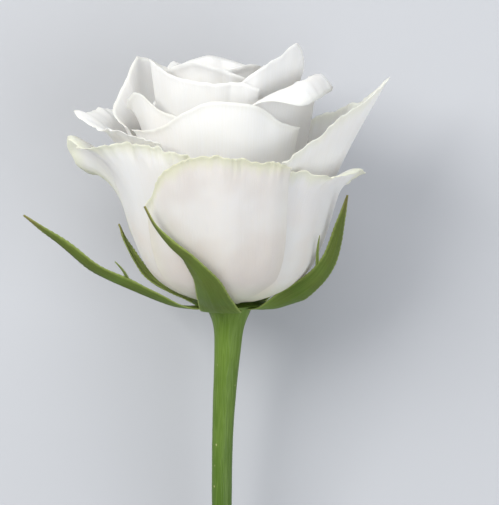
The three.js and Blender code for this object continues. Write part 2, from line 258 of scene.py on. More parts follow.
class Wire:
    """A number that flows through a node tree and can be written into a formula."""

    def __init__(self, tree: bpy.types.NodeTree, socket: bpy.types.NodeSocket) -> None:
        """Remembers the tree and the socket that the number comes from."""
        self.tree = tree
        self.socket = socket

    def through(self, operation: str, *others: "Wire | float", clamp: bool = False) -> "Wire":
        """Puts this number, and others, through a Math node.

        Args:
            operation: The Math node's operation.
            others: Its further inputs.
            clamp: Whether the result is kept from 0 to 1.

        Returns:
            The result.
        """
        node = self.tree.nodes.new("ShaderNodeMath")
        node.operation = operation
        node.use_clamp = clamp
        for place, value in enumerate((self, *others)):
            plug(self.tree, node.inputs[place], value)
        return Wire(self.tree, node.outputs[0])

    def __add__(self, other: "Wire | float") -> "Wire":
        """The sum."""
        return self.through("ADD", other)

    def __sub__(self, other: "Wire | float") -> "Wire":
        """The difference."""
        return self.through("SUBTRACT", other)

    def __mul__(self, other: "Wire | float") -> "Wire":
        """The product."""
        return self.through("MULTIPLY", other)

    def __truediv__(self, other: "Wire | float") -> "Wire":
        """The quotient."""
        return self.through("DIVIDE", other)

    def __pow__(self, other: "Wire | float") -> "Wire":
        """The power."""
        return self.through("POWER", other)

    def __neg__(self) -> "Wire":
        """The opposite."""
        return self.through("MULTIPLY", -1.0)

    __radd__ = __add__
    __rmul__ = __mul__

    def __rsub__(self, other: float) -> "Wire":
        """A plain number less this one."""
        return (-self) + other

    def eased(self, start: "Wire | float", end: "Wire | float") -> "Wire":
        """A smooth rise from 0 at start to 1 at end."""
        node = self.tree.nodes.new("ShaderNodeMapRange")
        node.interpolation_type = "SMOOTHSTEP"
        plug(self.tree, node.inputs["Value"], self)
        plug(self.tree, node.inputs["From Min"], start)
        plug(self.tree, node.inputs["From Max"], end)
        return Wire(self.tree, node.outputs["Result"])

    def toward(self, other: "Wire | float", share: "Wire | float") -> "Wire":
        """The number that lies a share of the way from this one to another."""
        return self + (as_wire(self.tree, other) - self) * share


def plug(tree: bpy.types.NodeTree, socket: bpy.types.NodeSocket, value: object) -> None:
    """Links a wire or socket into a socket, or sets a plain value on it."""
    if isinstance(value, Wire):
        tree.links.new(value.socket, socket)
    elif isinstance(value, bpy.types.NodeSocket):
        tree.links.new(value, socket)
    else:
        socket.default_value = value


def as_wire(tree: bpy.types.NodeTree, value: Wire | float) -> Wire:
    """A plain number as a wire."""
    if isinstance(value, Wire):
        return value
    node = tree.nodes.new("ShaderNodeValue")
    node.outputs[0].default_value = value
    return Wire(tree, node.outputs[0])


def vector(tree: bpy.types.NodeTree, x: object, y: object, z: object) -> bpy.types.NodeSocket:
    """A vector put together from three numbers."""
    node = tree.nodes.new("ShaderNodeCombineXYZ")
    for socket, value in zip(node.inputs, (x, y, z)):
        plug(tree, socket, value)
    return node.outputs[0]


def noise(
    tree: bpy.types.NodeTree, place: bpy.types.NodeSocket, scale: float, detail: float = 2.0
) -> Wire:
    """A noise texture's value at a place."""
    node = tree.nodes.new("ShaderNodeTexNoise")
    node.inputs["Scale"].default_value = scale
    node.inputs["Detail"].default_value = detail
    tree.links.new(place, node.inputs["Vector"])
    return Wire(tree, node.outputs[0])


# ---- Shared surface effects ---------------------------------------------------------------------


class Effect(Enum):
    """The shader groups that more than one finish uses."""

    VEINS = "fanning veins"
    EDGE_BAND = "uneven band along an edge"
    SOFT_PATCHES = "soft patches"
    FLECKS = "small flecks"


def new_group(effect: Effect, inputs: dict[str, float], outputs: Sequence[str]) -> tuple:
    """An empty shader group with number sockets.

    Args:
        effect: Which effect the group makes.
        inputs: Default values by socket name.
        outputs: Names of the output sockets.

    Returns:
        The tree, its inputs as wires by name, and its output node.
    """
    tree = bpy.data.node_groups.new(effect.value, "ShaderNodeTree")
    for name, value in inputs.items():
        socket = tree.interface.new_socket(name, in_out="INPUT", socket_type="NodeSocketFloat")
        socket.default_value = value
    for name in outputs:
        tree.interface.new_socket(name, in_out="OUTPUT", socket_type="NodeSocketFloat")
    entry = tree.nodes.new("NodeGroupInput")
    leave = tree.nodes.new("NodeGroupOutput")
    return tree, {name: Wire(tree, entry.outputs[name]) for name in inputs}, leave


def veins_group() -> bpy.types.NodeTree:
    """Fine veins that fan out from the foot and fork on their way to the edge."""
    tree, given, leave = new_group(
        Effect.VEINS, {"Across": 0.0, "Along": 0.0, "Count": 40.0, "Sharpness": 1.0}, ["Veins"]
    )
    wander = noise(tree, vector(tree, given["Across"], given["Along"], 0.0), 5.0) - 0.5
    across = (given["Across"] + wander * 0.05) * given["Count"]
    main = noise(tree, vector(tree, across, given["Along"] * 2.2, 0.0), 1.0, 1.0)
    fine = noise(tree, vector(tree, across * 2.7, given["Along"] * 5.0, 3.0), 1.0, 2.0)
    ridge = 1.0 - ((main - 0.5).through("ABSOLUTE") * 9.0).through("MINIMUM", 1.0)
    result = ridge * 0.6 + (fine - 0.5) * 0.8 * given["Sharpness"]
    plug(tree, leave.inputs["Veins"], result.through("MAXIMUM", 0.0))
    return tree


def edge_band_group() -> bpy.types.NodeTree:
    """A band of uneven width along an edge, fading inwards."""
    tree, given, leave = new_group(
        Effect.EDGE_BAND, {"Distance": 0.0, "Width": 3.0, "Across": 0.0, "Seed": 0.0}, ["Band"]
    )
    uneven = noise(tree, vector(tree, given["Across"], given["Seed"], 0.0), 5.0, 3.0)
    width = given["Width"] * (uneven * 1.6 + 0.2)
    band = 1.0 - (given["Distance"] / width).eased(0.0, 1.0)
    plug(tree, leave.inputs["Band"], band)
    return tree


def soft_patches_group() -> bpy.types.NodeTree:
    """Broad soft patches, for colour that drifts over a surface."""
    tree, given, leave = new_group(Effect.SOFT_PATCHES, {"Scale": 60.0, "Seed": 0.0}, ["Patches"])
    place = tree.nodes.new("ShaderNodeTexCoord").outputs["Object"]
    shifted = tree.nodes.new("ShaderNodeVectorMath")
    tree.links.new(place, shifted.inputs[0])
    tree.links.new(vector(tree, given["Seed"], given["Seed"], 0.0), shifted.inputs[1])
    cloud = noise(tree, shifted.outputs[0], 1.0, 2.0)
    plug(tree, cloud.socket.node.inputs["Scale"], given["Scale"])
    plug(tree, leave.inputs["Patches"], cloud.eased(0.35, 0.68))
    return tree


def flecks_group() -> bpy.types.NodeTree:
    """Sparse small marks, drawn out along the surface."""
    tree, given, leave = new_group(
        Effect.FLECKS, {"Across": 0.0, "Along": 0.0, "Count": 14.0, "Seed": 0.0}, ["Flecks"]
    )
    place = vector(tree, given["Across"] * given["Count"], given["Along"] * 6.0, given["Seed"])
    cells = tree.nodes.new("ShaderNodeTexVoronoi")
    cells.inputs["Scale"].default_value = 1.0
    tree.links.new(place, cells.inputs["Vector"])
    spot = 1.0 - Wire(tree, cells.outputs["Distance"]).eased(0.05, 0.22)
    chosen = noise(tree, place, 0.9).eased(0.6, 0.72)
    plug(tree, leave.inputs["Flecks"], spot * chosen)
    return tree


class Effects:
    """The shared shader groups, each built once."""

    def __init__(self) -> None:
        """Builds every group."""
        self.trees = {
            Effect.VEINS: veins_group(),
            Effect.EDGE_BAND: edge_band_group(),
            Effect.SOFT_PATCHES: soft_patches_group(),
            Effect.FLECKS: flecks_group(),
        }

    def use(self, tree: bpy.types.NodeTree, effect: Effect, **values: object) -> Wire:
        """Places a group in a material.

        Args:
            tree: The material's node tree.
            effect: Which effect to place.
            values: Wires or numbers for its inputs, by lower-case name.

        Returns:
            The effect's value.
        """
        node = tree.nodes.new("ShaderNodeGroup")
        node.node_tree = self.trees[effect]
        for name, value in values.items():
            plug(tree, node.inputs[name.capitalize()], value)
        return Wire(tree, node.outputs[0])


# ---- Finishes -----------------------------------------------------------------------------------

Color = tuple[float, float, float]


class Palette:
    """Builds one material: colours laid over each other, then its shaders."""

    def __init__(self, name: str, base: Color) -> None:
        """Starts a material with one colour all over."""
        self.material = bpy.data.materials.new(name)
        self.material.use_nodes = True
        self.tree = self.material.node_tree
        self.shader = self.tree.nodes["Principled BSDF"]
        start = self.tree.nodes.new("ShaderNodeRGB")
        start.outputs[0].default_value = (*base, 1)
        self.color = start.outputs[0]

    def layer(self, name: str) -> Wire:
        """A number layer that the mesh carries on its points."""
        node = self.tree.nodes.new("ShaderNodeAttribute")
        node.attribute_name = name
        return Wire(self.tree, node.outputs["Fac"])

    def paint(self, color: Color, share: Wire | float) -> None:
        """Lays a colour over what is there, by a share that may change over the surface."""
        node = self.tree.nodes.new("ShaderNodeMix")
        node.data_type = "RGBA"
        plug(self.tree, node.inputs["Factor"], share)
        colors = [socket for socket in node.inputs if socket.type == "RGBA"]
        plug(self.tree, colors[0], self.color)
        colors[1].default_value = (*color, 1)
        self.color = next(socket for socket in node.outputs if socket.type == "RGBA")

    def bump(self, height: Wire, strength: float, distance: float) -> None:
        """Raises the surface by a height, in metres at full height."""
        node = self.tree.nodes.new("ShaderNodeBump")
        node.inputs["Strength"].default_value = strength
        node.inputs["Distance"].default_value = distance
        plug(self.tree, node.inputs["Height"], height)
        self.tree.links.new(node.outputs[0], self.shader.inputs["Normal"])

    def finish(self, translucent: float = 0.0) -> bpy.types.Material:
        """Links the colour, and lets some light through.

        Args:
            translucent: Share of the light that passes through the tissue.

        Returns:
            The finished material.
        """
        links = self.tree.links
        links.new(self.color, self.shader.inputs["Base Color"])
        if translucent:
            through = self.tree.nodes.new("ShaderNodeBsdfTranslucent")
            links.new(self.color, through.inputs["Color"])
            both = self.tree.nodes.new("ShaderNodeMixShader")
            both.inputs[0].default_value = translucent
            links.new(self.shader.outputs[0], both.inputs[1])
            links.new(through.outputs[0], both.inputs[2])
            links.new(both.outputs[0], self.tree.nodes["Material Output"].inputs["Surface"])
        return self.material


@dataclass(frozen=True)
class PetalFinish:
    """White petal tissue: satin, veined, creamy at the foot, tinted along its edge, and on some petals
    darkened all over with painted shade.
    """

    name: str
    white: Color = (0.9, 0.895, 0.88)
    cream: Color = (0.87, 0.80, 0.66)
    blush: Color = (0.86, 0.70, 0.62)
    edge: Color = (0.74, 0.76, 0.47)
    # A grey-cream of painted shade, laid over a petal's whole face.
    painted_shade_grey: Color = (0.72, 0.665, 0.62)
    blush_share: float = 0.3
    edge_share: float = 0.5
    edge_width: float = 3.0
    fleck_share: float = 0.0

    def build(self, effects: Effects) -> bpy.types.Material:
        """Makes the material from the shared effects."""
        palette = Palette(self.name, self.white)
        tree = palette.tree
        across, along = palette.layer("across"), palette.layer("along")
        height, seed = palette.layer("height"), palette.layer("seed")
        to_edge, tint = palette.layer("to_edge"), palette.layer("tint")
        veins = effects.use(tree, Effect.VEINS, across=across, along=along, count=34.0)
        patches = effects.use(tree, Effect.SOFT_PATCHES, scale=70.0, seed=seed)
        low = 1.0 - height.eased(0.0, 34.0)
        palette.paint(self.cream, low * (patches * 0.35 + 0.35))
        palette.paint(self.blush, (low * 0.6 + 0.15) * patches * self.blush_share)
        # Painted shade: a grey-cream that darkens the whole face of a petal, by that petal's own share of
        # painted shade.
        palette.paint(self.painted_shade_grey, palette.layer("painted_shade") * (patches * 0.4 + 0.4))
        palette.paint((0.72, 0.78, 0.45), (1.0 - height.eased(1.0, 9.0)) * 0.45)
        band = effects.use(
            tree, Effect.EDGE_BAND, distance=to_edge, width=self.edge_width, across=across, seed=seed
        )
        palette.paint(self.edge, (band * tint * self.edge_share).through("MINIMUM", 1.0))
        palette.paint((0.82, 0.80, 0.70), veins * 0.22)
        if self.fleck_share:
            flecks = effects.use(tree, Effect.FLECKS, across=across, along=along, seed=seed)
            palette.paint((0.80, 0.56, 0.34), flecks * self.fleck_share)
        grain = noise(tree, tree.nodes.new("ShaderNodeTexCoord").outputs["Object"], 2600.0, 1.0)
        palette.bump(veins * 0.8 + grain * 0.25, 0.35, 0.00012)
        shader = palette.shader
        plug(tree, shader.inputs["Roughness"], patches * 0.08 + 0.5)
        shader.inputs["Subsurface Weight"].default_value = 0.25
        shader.inputs["Subsurface Radius"].default_value = (1.0, 0.85, 0.7)
        shader.inputs["Subsurface Scale"].default_value = 0.0015
        shader.inputs["Sheen Weight"].default_value = 0.12
        shader.inputs["Specular IOR Level"].default_value = 0.35
        return palette.finish(translucent=0.3)


@dataclass(frozen=True)
class SepalFinish:
    """A sepal's green skin: veined, paler and downy along its edges."""

    name: str = "sepal"
    green: Color = (0.085, 0.15, 0.014)
    pale: Color = (0.29, 0.36, 0.09)
    olive: Color = (0.085, 0.10, 0.014)
    fresh: Color = (0.15, 0.25, 0.03)
    red: Color = (0.25, 0.12, 0.06)

    def build(self, effects: Effects) -> bpy.types.Material:
        """Makes the material from the shared effects."""
        palette = Palette(self.name, self.green)
        tree = palette.tree
        across, along = palette.layer("across"), palette.layer("along")
        inner = palette.layer("inner")
        veins = effects.use(tree, Effect.VEINS, across=across * 0.5, along=along, count=22.0)
        patches = effects.use(tree, Effect.SOFT_PATCHES, scale=160.0, seed=2.0)
        palette.paint(self.olive, patches * 0.4)
        palette.paint(self.olive, along.eased(0.3, 0.95) * 0.6)
        palette.paint(self.fresh, (1.0 - along.eased(0.0, 0.3)) * 0.75)
        palette.paint(self.pale, veins * 0.25)
        palette.paint(self.pale, inner * 0.5)
        band = effects.use(
            tree, Effect.EDGE_BAND, distance=palette.layer("to_edge"), width=0.55, across=along * 6.0
        )
        palette.paint(self.pale, band * 0.75)
        palette.paint(self.red, along.eased(0.85, 1.0) * 0.35)
        grain = noise(tree, tree.nodes.new("ShaderNodeTexCoord").outputs["Object"], 1800.0, 2.0)
        palette.bump(veins + grain * 0.6, 0.5, 0.0002)
        plug(tree, palette.shader.inputs["Roughness"], patches * 0.15 + 0.5)
        palette.shader.inputs["Specular IOR Level"].default_value = 0.3
        return palette.finish(translucent=0.12)


@dataclass(frozen=True)
class StemFinish:
    """The stem's smooth skin: fresh green, streaked lengthwise, yellower towards the hip."""

    name: str = "stem"
    green: Color = (0.05, 0.105, 0.006)
    yellow: Color = (0.115, 0.19, 0.018)
    pale: Color = (0.22, 0.33, 0.07)
    cut: Color = (0.55, 0.60, 0.33)

    def build(self, effects: Effects) -> bpy.types.Material:
        """Makes the material from the shared effects."""
        palette = Palette(self.name, self.green)
        tree = palette.tree
        around, down = palette.layer("across"), palette.layer("along")
        depth = down * STEM_LENGTH
        streaks = effects.use(tree, Effect.VEINS, across=around, along=down * 7.0, count=16.0)
        patches = effects.use(tree, Effect.SOFT_PATCHES, scale=55.0, seed=5.0)
        palette.paint(self.yellow, (1.0 - depth.eased(4.0, 60.0)) * 0.55 + patches * 0.18)
        palette.paint(self.pale, streaks * 0.3)
        flecks = effects.use(tree, Effect.FLECKS, across=around, along=down * 16.0, count=5.0, seed=1.0)
        palette.paint((0.52, 0.50, 0.24), flecks * 0.6)
        palette.paint(self.cut, depth.eased(STEM_LENGTH - 0.6, STEM_LENGTH + 0.2))
        place = tree.nodes.new("ShaderNodeTexCoord").outputs["Object"]
        grain = noise(tree, place, 1500.0, 2.0)
        palette.bump(streaks + grain * 0.4 + flecks, 0.4, 0.00025)
        plug(tree, palette.shader.inputs["Roughness"], patches * 0.12 + 0.42)
        palette.shader.inputs["Specular IOR Level"].default_value = 0.3
        return palette.finish()


@dataclass(frozen=True)
class PollenFinish:
    """A matt granular skin, for anthers and stigmas."""

    name: str
    color: Color
    dark: Color

    def build(self, effects: Effects) -> bpy.types.Material:
        """Makes the material from the shared effects."""
        palette = Palette(self.name, self.color)
        patches = effects.use(palette.tree, Effect.SOFT_PATCHES, scale=900.0, seed=1.0)
        palette.paint(self.dark, patches * 0.7)
        palette.bump(patches, 0.6, 0.0002)
        plug(palette.tree, palette.shader.inputs["Roughness"], patches * 0.1 + 0.75)
        return palette.finish()


# ---- Petals -------------------------------------------------------------------------------------


def foot_rise(layer: float) -> float:
    """How much higher than the outermost petal's foot the feet of a layer stand."""
    return FOOT_RISE * (1 - math.exp((layer - 1) / 0.25))


def cup_radius(z: np.ndarray, layer: float) -> np.ndarray:
    """Radius of the cup that a petal lies in, at a height above the hip.

    Args:
        z: Height in the bloom's frame.
        layer: 0 at the heart to 1 at the outside.

    Returns:
        The radius at each height.
    """
    above = z - foot_rise(layer)
    outer = CUP_FLOOR + CUP_OPENING * (1 - np.exp(-above / CUP_CURVE)) + CUP_SLOPE * above
    inner = CORE_RADIUS + CORE_BELLY / (1 + np.exp((above - CORE_NARROWS_AT) / CORE_NARROWS_OVER))
    return mix(inner, outer, layer)


def layer_of(index: int) -> float:
    """The cup that a petal lies in, counted from the outermost petal, 0."""
    return (1 - index / PETALS) ** 1.1


@dataclass(frozen=True)
class PetalShape:
    """The form of one petal, whose s runs across it from -1 to 1, anticlockwise from above.

    Attributes:
        azimuth: Where its middle stands around the bloom.
        half: Half its angle near the rim.
        rim: Height of the rim at even places across, measured along the petal.
        flare: Length of the rim that leaves the cup, at even places across.
        lean: The rim's angle from upright, at the same places.
        free: Height under which its outer neighbours hold it in the cup.
        layer: The cup that it lies in, where the growing spiral doesn't give it.
        foot: Width of its foot in angle, as a share of half.
        widest: Height at which it reaches its full angle.
        taper: How much wider it is in angle at the belly than at the rim.
        bend: How late the rim takes on its lean, where 0 is at once.
        ruffle: How far the rim waves in and out.
        scallop: How far it waves up and down.
        waves: Number of waves across the rim.
        curl: Extra angle that the last of the rim rolls out by.
        curl_width: Length of that rolled edge.
        side_curl: How far the clockwise and the anticlockwise margins roll out.
        tint: Strength of the edge's tint on the clockwise margin, rim and other margin.
        painted_shade: How far its whole face is darkened a grey-cream by painted shade.
    """

    azimuth: float = 0.0
    half: float = 50.0
    rim: Sequence[float] = (40.0, 40.0, 40.0)
    flare: Sequence[float] = (10.0, 10.0, 10.0)
    lean: Sequence[float] = (20.0, 20.0, 20.0)
    free: float = 40.0
    layer: float | None = None
    foot: float = FOOT_SHARE
    widest: float = WIDEST_AT
    taper: float = 0.0
    bend: float = 1.4
    ruffle: float = 0.35
    scallop: float = 0.3
    waves: float = 6.0
    curl: float = 20.0
    curl_width: float = 1.6
    side_curl: tuple[float, float] = (0.4, 0.4)
    tint: tuple[float, float, float] = (0.3, 0.6, 0.3)
    painted_shade: float = 0.0


class PetalKind(Enum):
    """Which finish a petal wears."""

    OUTER = "outer_petal"
    SHOULDER = "shoulder_petal"
    HEART = "heart_petal"


@dataclass(frozen=True)
class Petal:
    """One petal of the outer whorls, built as a thin closed shell."""

    index: int
    shape: PetalShape
    kind: PetalKind
    columns: int = 150
    rows: int = 60

    @property
    def name(self) -> str:
        """The petal's name, which is its node's name."""
        return f"petal_{self.index + 1:02d}"

    @property
    def seed(self) -> float:
        """A number of its own, so that no two rims are alike."""
        return self.index * 1.37

    def surface(self, s: np.ndarray, t: np.ndarray) -> tuple[np.ndarray, np.ndarray, np.ndarray]:
        """The middle of the petal's thickness.

        Args:
            s: Places across, as a grid.
            t: Places from the foot, 0, to the rim, 1.

        Returns:
            The points, how far each is from the rim, and how far from the nearer margin.
        """
        shape = self.shape
        layer = layer_of(self.index) if shape.layer is None else shape.layer
        even_rim = smooth_through(shape.rim, s)
        leaves = np.minimum(even_rim, np.maximum(even_rim - smooth_through(shape.flare, s), shape.free))
        rim = even_rim + shape.scallop * ripple(s, shape.waves, self.seed)
        climb = mix(PETAL_FOOT + foot_rise(layer), rim, t**1.3)
        z = np.minimum(climb, leaves)
        radius = cup_radius(z, layer)
        slope = np.arctan(cup_radius(z + 0.5, layer) - cup_radius(z - 0.5, layer))
        lean = np.maximum(slope, np.radians(smooth_through(shape.lean, s)))
        over = np.maximum(climb - leaves, 0)
        free_length = np.maximum(even_rim - leaves, 1.0)
        curl = math.radians(shape.curl)
        pieces = 24
        for k in range(pieces):
            reach = (k + 0.5) / pieces * over
            angle = mix(slope, lean, np.minimum(reach / free_length, 1.1) ** shape.bend)
            angle = angle + curl * ease(reach - free_length + shape.curl_width, 0, shape.curl_width)
            radius = radius + over / pieces * np.sin(angle)
            z = z + over / pieces * np.cos(angle)
        side = np.where(s < 0, shape.side_curl[0], shape.side_curl[1])
        radius = radius + side * ease(np.abs(s), 0.75, 1.05) ** 1.5 * ease(t, 0.15, 0.7) * (1.1 - t)
        radius = radius + 0.2 * np.sin(9.3 * s + self.seed) * ease(t, 0.2, 0.6)
        belly = 1 + shape.taper * (1 - ease(climb, shape.widest, 36))
        spread = mix(shape.foot, 1, ease(climb, 0, shape.widest)) * belly
        azimuth = np.radians(shape.azimuth + s * shape.half * spread)
        points = np.stack([radius * np.cos(azimuth), radius * np.sin(azimuth), z], 2)
        to_side = (1 - np.abs(s)) * math.radians(shape.half) * spread * radius
        return points, rim - climb, to_side

    def build(self, place: RestingPlace, finishes: dict[PetalKind, bpy.types.Material]) -> bpy.types.Object:
        """Makes the petal's object.

        Args:
            place: Where the bloom's frame lies.
            finishes: The petal materials.

        Returns:
            The petal, riding on the root and standing for its node.
        """
        shape = self.shape
        u = np.linspace(-1, 1, self.columns)
        s, t = np.meshgrid(mix(u, np.sin(u * math.pi / 2), 0.6), np.linspace(0, 1, self.rows) ** 0.9)
        middle, to_rim, to_side = self.surface(s, t)
        near_rim = (1 - ease(to_rim, 0, 8)) ** 1.5
        near_side = (1 - ease(to_side, 0, 5)) ** 1.5 * ease(t, 0.3, 0.8)
        wave = shape.ruffle * ripple(s, shape.waves * 0.8, self.seed + 3.3) * near_rim
        wave = wave + 0.2 * shape.ruffle * ripple(t * 2 - 1, 4.0, self.seed + 1.1) * near_side
        middle = middle + grid_normals(middle) * wave[..., None]
        normal = grid_normals(middle)
        to_edge = np.minimum(to_rim, to_side)
        margin = np.where(s < 0, shape.tint[0], shape.tint[2]) * ease(t, 0.05, 0.35)
        tint = mix(margin, shape.tint[1], ease(to_side - to_rim, -2.5, 2.5))
        thickness = mix(EDGE_THICKNESS, PETAL_THICKNESS, ease(to_edge, 0, 5.0))
        half = (thickness / 2)[..., None]
        front, back = middle + normal * half, middle - normal * half
        layers = {
            "across": np.tile(s.ravel(), 2),
            "along": np.tile(t.ravel(), 2),
            "height": np.tile(middle[..., 2].ravel(), 2),
            "to_edge": np.tile(to_edge.ravel(), 2),
            "tint": np.tile(tint.ravel(), 2),
            "inner": np.repeat([0.0, 1.0], s.size),
            "seed": np.full(2 * s.size, self.seed),
            # The share of painted shade that darkens the petal's whole face.
            "painted_shade": np.full(2 * s.size, shape.painted_shade),
        }
        points = place.place(np.concatenate([front.reshape(-1, 3), back.reshape(-1, 3)]))
        made = object_from_quads(self.name + "_tissue", points, shell_quads(*s.shape), layers)
        made.data.materials.append(finishes[self.kind])
        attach(made, ROOT)
        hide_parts(self.name)
        log.info("%s: %s, rim to %.1f mm", self.name, self.kind.value, middle[..., 2].max())
        return made


OUTER, SHOULDER, HEART = PetalKind.OUTER, PetalKind.SHOULDER, PetalKind.HEART

OUTER_FORM = PetalShape(foot=0.56, widest=11, taper=0.08, ruffle=0.8, scallop=0.55, waves=8, curl=22)
SHOULDER_FORM = PetalShape(ruffle=0.4, scallop=0.25, tint=(0.15, 0.35, 0.15))
HEART_FORM = PetalShape(ruffle=0.25, scallop=0.25, waves=5, tint=(0.1, 0.25, 0.1))

SHOWN_PETALS: tuple[tuple[PetalKind, PetalShape], ...] = (
    (OUTER, replace(
        OUTER_FORM, azimuth=266.5, half=35, layer=1.0, taper=0.16, widest=9, free=20,
        rim=(27, 34, 38, 40, 40.5, 40.5, 39, 39, 37.5), flare=(8, 8, 8, 8, 8), lean=(16, 18, 20, 18, 14),
        ruffle=0.7, scallop=0.8, waves=5.5, curl=30, curl_width=1.8, side_curl=(1.2, 0.5),
        # This petal's whole face is darkened with painted shade.
        tint=(0.25, 0.8, 0.1), painted_shade=0.9,
    )),
    (OUTER, replace(
        OUTER_FORM, azimuth=321, half=41, layer=0.95, free=26,
        rim=(35, 36, 36.5, 36.5, 37, 38.5, 39.5, 36, 31), flare=(11, 11, 11, 11, 11),
        lean=(14, 14, 70, 100, 50), ruffle=0.7, scallop=0.7, waves=6, tint=(0.1, 0.6, 0.1),
    )),
    (OUTER, replace(
        OUTER_FORM, azimuth=221, half=43, layer=0.92, free=22,
        rim=(36, 48, 46, 44, 43.5, 43, 42, 41, 38), flare=(20, 20, 20, 20, 20), lean=(80, 76, 26, 18, 15),
        ruffle=1.1, scallop=1.0, waves=6.5, curl=26, curl_width=1.8, side_curl=(2.6, 0.2),
        tint=(1.2, 0.6, 0.1),
    )),
    (OUTER, replace(
        OUTER_FORM, azimuth=66, half=48, layer=0.93, free=24,
        rim=(30, 38, 41, 42, 43, 42, 38, 33, 28), flare=(12, 12, 12, 12, 12), lean=(20, 35, 49, 45, 38),
        ruffle=0.1, curl=0, scallop=0.1,
    )),
    (OUTER, replace(
        OUTER_FORM, azimuth=358, half=60, layer=0.87, free=28, bend=0.3,
        rim=(39.6, 44.5, 49.2, 53.8, 60.5, 53.6, 48.8, 46, 42), flare=(34, 34, 34, 34, 34),
        lean=(32, 22, 31, 19, 12), ruffle=0.6, scallop=0.45, curl=10, tint=(0.15, 0.35, 0.3),
    )),
    (OUTER, replace(
        OUTER_FORM, azimuth=118, half=49, layer=0.86, free=24,
        rim=(30, 37, 41, 43.5, 45, 43.5, 41, 37, 30), flare=(14, 14, 14, 14, 14), lean=(20, 46, 84, 60, 25),
        ruffle=0.1, curl=0, scallop=0.1,
    )),
    (SHOULDER, replace(
        SHOULDER_FORM, azimuth=190, half=50, layer=0.81, free=32,
        rim=(47, 50, 51.5, 52.5, 54.5, 50.5, 48.5, 46.5, 44), flare=(21, 21, 21, 21, 21),
        lean=(40, 60, 78, 65, 45), ruffle=0.8, scallop=0.6, waves=7,
    )),
    (SHOULDER, replace(
        SHOULDER_FORM, azimuth=148, half=55, free=40,
        rim=(48, 53, 56.5, 59.5, 61, 54, 50, 48, 46), flare=(18, 18, 18, 18, 18), lean=(12, 10, 10, 50, 50),
    )),
    (SHOULDER, replace(
        SHOULDER_FORM, azimuth=262, half=56, free=40,
        rim=(45.2, 45.2, 46.3, 49.5, 52.2, 52.3, 51.2, 47.5, 46), flare=(6, 6, 6, 6, 6),
        lean=(45, 35, 12, 14, 20), ruffle=0.25, scallop=0.2, waves=4, curl=18, curl_width=1.2,
    )),
    (SHOULDER, replace(
        SHOULDER_FORM, azimuth=80, half=52, free=40,
        rim=(40, 46, 50, 51.5, 52.5, 51.5, 49, 45, 40), flare=(10, 10, 10, 10, 10),
        lean=(20, 35, 40, 35, 20),
    )),
    (SHOULDER, replace(
        SHOULDER_FORM, azimuth=212, half=54, free=42,
        rim=(48, 49, 50.5, 53.5, 53.5, 50, 48.5, 47, 45), flare=(10, 10, 10, 10, 10),
        lean=(30, 50, 20, 15, 15), ruffle=0.25,
    )),
    (SHOULDER, replace(
        SHOULDER_FORM, azimuth=325, half=60, free=49, bend=0.15,
        rim=(47.5, 50, 54.8, 62.6, 63.4, 63.2, 63, 58, 55), flare=(1, 1, 2.5, 8, 7, 6, 5.5, 3, 2),
        lean=(30, 110, 145, 155, 60), ruffle=0.3, curl=0,
    )),
    (HEART, replace(
        HEART_FORM, azimuth=105, half=62, free=48,
        rim=(50, 53, 55, 56, 56.5, 56, 55, 52, 49), flare=(7, 7, 7, 7, 7), lean=(15, 20, 25, 20, 15),
    )),
    (HEART, replace(
        HEART_FORM, azimuth=250, half=46, free=48,
        rim=(61.5, 60, 58.6, 57.5, 56.8, 56.5, 56.5, 56.5, 55), flare=(6, 6, 6, 6, 6),
        lean=(10, 12, 15, 15, 12), curl=14,
    )),
    (HEART, replace(
        HEART_FORM, azimuth=330, half=62, free=52,
        rim=(52.5, 56.5, 60.3, 62.5, 65.5, 62, 59, 57, 55), flare=(8, 8, 8, 8, 8),
        lean=(10, 12, 14, 16, 15),
        curl=12,
    )),
)


# ---- Sepals -------------------------------------------------------------------------------------


@dataclass(frozen=True)
class Lobe:
    """A slender leaflet on a sepal's margin.

    Attributes:
        at: Where it starts along the sepal, from the foot, 0, to the tip, 1.
        side: Which margin it stands on, -1 or 1.
        length: How long it is.
        spread: Its angle from the sepal's own line.
        width: Its width at its foot.
    """

    at: float
    side: int
    length: float
    spread: float
    width: float


